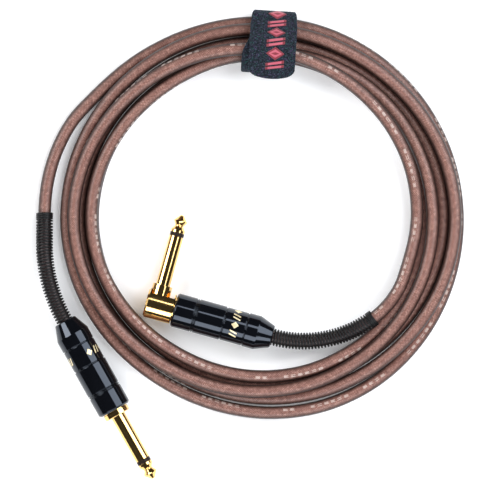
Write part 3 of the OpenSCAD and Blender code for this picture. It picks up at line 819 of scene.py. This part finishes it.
def build_strap(finish):
    band_line = strap_line(STRAP_BAND)
    band = ribbon_mesh("strap_band_fabric", band_line, STRAP_W, STRAP_T, skew=band_skew,
                       waist=lambda s: fold_waist(band_line.end / MM - s), pile=PILE_H)
    band.data.materials.append(finish["fabric"])
    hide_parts("strap_band")
    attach(band, "coil")

    line = strap_line(STRAP_TAIL)
    tail = ribbon_mesh("strap_tail_fabric", line, STRAP_W, STRAP_T, trim=tail_trim, waist=fold_waist,
                       pile=PILE_H)
    tail.data.materials.append(finish["fabric"])
    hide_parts("strap_tail")
    below, above = (tuple(FOLD_POS + height * MM * UP) for height in FOLD_REACH)
    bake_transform(tail)
    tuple(below)
    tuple(above)

    def place(x, y, height):
        centre, normal = strap_frame(line, y * MM)
        return centre + (x * MM)[:, None] * STRAP_ACROSS + (STRAP_T / 2 + height) * MM * normal

    shapes = tail_mark_shapes()
    border = patches_mesh("strap_tail_mark_border", [grow(q, 1.1) for q in shapes], place, -0.12, 0.09)
    border.data.materials.append(finish["thread_dark"])
    mark = patches_mesh("strap_tail_mark_thread", shapes, place, -0.1, 0.17)
    mark.data.materials.append(finish["thread_pale"])
    lozenges = [grow(q, -1.15) for q in shapes[::3]]
    centres = patches_mesh("strap_tail_mark_centres", lozenges, place, -0.1, 0.22)
    centres.data.materials.append(finish["thread_dark"])
    for piece in (border, mark, centres):
        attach(piece, "strap_flap")

    hooks = ribbon_mesh("strap_hook_pad", strap_line(HOOK_PATCH), STRAP_W - 4, HOOK_T)
    hooks.data.materials.append(finish["backing"])
    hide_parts("strap_hook_patch")
    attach(hooks, "strap_flap")


# ---- Build ----

find_spring(straight)
find_spring(angle)
COPPER_LOW, COPPER_HIGH = rgb(150, 82, 52), rgb(228, 160, 122)
layer_finish = {
    "jacket": jacket_material((straight["s_far"], angle["s_far"])),
    "shield": plain_material("copper_braid", COPPER_LOW, COPPER_HIGH, 0.35, 1.0, 900.0, 0.08),
    "conductive_layer": plain_material("conductive_plastic", rgb(16, 16, 17), rgb(34, 34, 36), 0.6),
    "insulation": plain_material("core_plastic", rgb(222, 220, 212), rgb(244, 243, 238), 0.4),
    "conductor": plain_material("copper_strands", COPPER_LOW, COPPER_HIGH, 0.3, 1.0, 1500.0, 0.1),
}
build_cable(layer_finish)
spring_finish = spring_material()
for side in (straight, angle):
    build_spring(side, spring_finish)
mark_finish = plain_material("mark_gold", rgb(214, 190, 130), rgb(252, 240, 205), 0.3, 0.35, 1200.0)
build_shell_marks(straight, 71.0, mark_finish)
build_shell_marks(angle, -21.0, mark_finish)
build_strap({
    "fabric": fabric_material(),
    "thread_dark": thread_material("thread_dark_red", rgb(84, 10, 26), rgb(140, 26, 46)),
    "thread_pale": thread_material("thread_pink", rgb(150, 44, 66), rgb(206, 98, 116)),
    "backing": backing_material(),
})

angle_shaft = np.cross(unit(joint("angle_flex")["axis"]), angle["back"])
SHAFT_AXES = {"straight": straight["back"], "angle": angle_shaft}
solder = plain_material("solder_bead", rgb(150, 150, 152), rgb(212, 212, 214), 0.28, 1.0, 700.0)
white = plain_material("white_plastic", rgb(214, 211, 202), rgb(238, 236, 229), 0.45)
dark_ring = plain_material("black_insulator", rgb(24, 16, 13), rgb(46, 34, 28), 0.4, gloss=0.15)
tail_braid = plain_material("tail_braid", COPPER_LOW, COPPER_HIGH, 0.4, 1.0, 1200.0, 0.1)
for side in (straight, angle):
    name = side["name"]
    shaft = gold_material(f"{name}_gold_shaft", SHAFT_AXES[name])
    body = gold_material(f"{name}_gold_body", side["back"])
    finishes = {
        "tip": shaft, "sleeve": shaft, "elbow": body, "tip_lug": body, "ground_clamp": body,
        "tip_ring": dark_ring, "rod_insulator": white, "rear_insulator": white, "liner": white,
        "tip_solder": solder, "shield_tail": tail_braid,
    }
    build_shell(side, shell_material(f"{name}_enamel", side["back"]))
    for part, finish in finishes.items():
        if f"{name}_{part}" in frame["nodes"]:
            node = frame["nodes"][f"{name}_{part}"]
            node.data.materials.clear()
            node.data.materials.append(finish)


# ---- Stage ----

def softbox(name, azimuth, zenith, distance, size, watts, colour=(1, 1, 1)):
    """A rectangular light that faces the object from an azimuth and an angle off the vertical, in degrees."""
    a, z = math.radians(azimuth), math.radians(zenith)
    way = Vector((math.cos(a) * math.sin(z), math.sin(a) * math.sin(z), math.cos(z)))
    data = bpy.data.lights.new(name, "AREA")
    data.shape, data.size, data.size_y = "RECTANGLE", size[0], size[1]
    data.energy, data.color = watts, colour
    lamp = bpy.data.objects.new(name, data)
    lamp.location = way * distance
    lamp.rotation_mode = "QUATERNION"
    lamp.rotation_quaternion = way.to_track_quat("Z", "Y")
    bpy.context.scene.collection.objects.link(lamp)


FLOOR = 2.5              # from the middle to a side, in metres
floor_corners = [(x * FLOOR, y * FLOOR, 0.0) for x, y in ((-1, -1), (1, -1), (1, 1), (-1, 1))]
floor = add_mesh("floor", floor_corners, [(0, 1, 2, 3)])
floor.data.materials.append(floor_material())

softbox("right_softbox", 29, 42, 0.9, (0.88, 0.8), 11.0, (0.93, 0.96, 1.0))
softbox("low_softbox", -88, 48, 0.95, (1.2, 0.5), 9.5, (0.95, 0.97, 1.0))
softbox("left_softbox", 155, 54, 1.0, (0.5, 0.5), 7.0)
world = bpy.data.worlds.new("studio")
world.use_nodes = True
sky = world.node_tree.nodes["Background"]
sky.inputs["Color"].default_value = (0.9, 0.94, 1.0, 1)
sky.inputs["Strength"].default_value = 0.04
bpy.context.scene.world = world
bpy.context.scene.view_settings.view_transform = "Standard"

VIEW_CENTRE = (-0.08, -2.5)
VIEW_WIDTH = 220.0
VIEW_PLANE = 8.0         # height at which the view is that wide
CAMERA_HEIGHT = 2.0      # in metres
SENSOR = 36.0
camera = bpy.data.objects.new("camera", bpy.data.cameras.new("camera"))
camera.data.sensor_width = SENSOR
camera.data.lens = SENSOR * (CAMERA_HEIGHT - VIEW_PLANE * MM) / (VIEW_WIDTH * MM)
camera.location = (VIEW_CENTRE[0] * MM, VIEW_CENTRE[1] * MM, CAMERA_HEIGHT)
camera.data.clip_end = 20.0
bpy.context.scene.collection.objects.link(camera)
bpy.context.scene.camera = camera
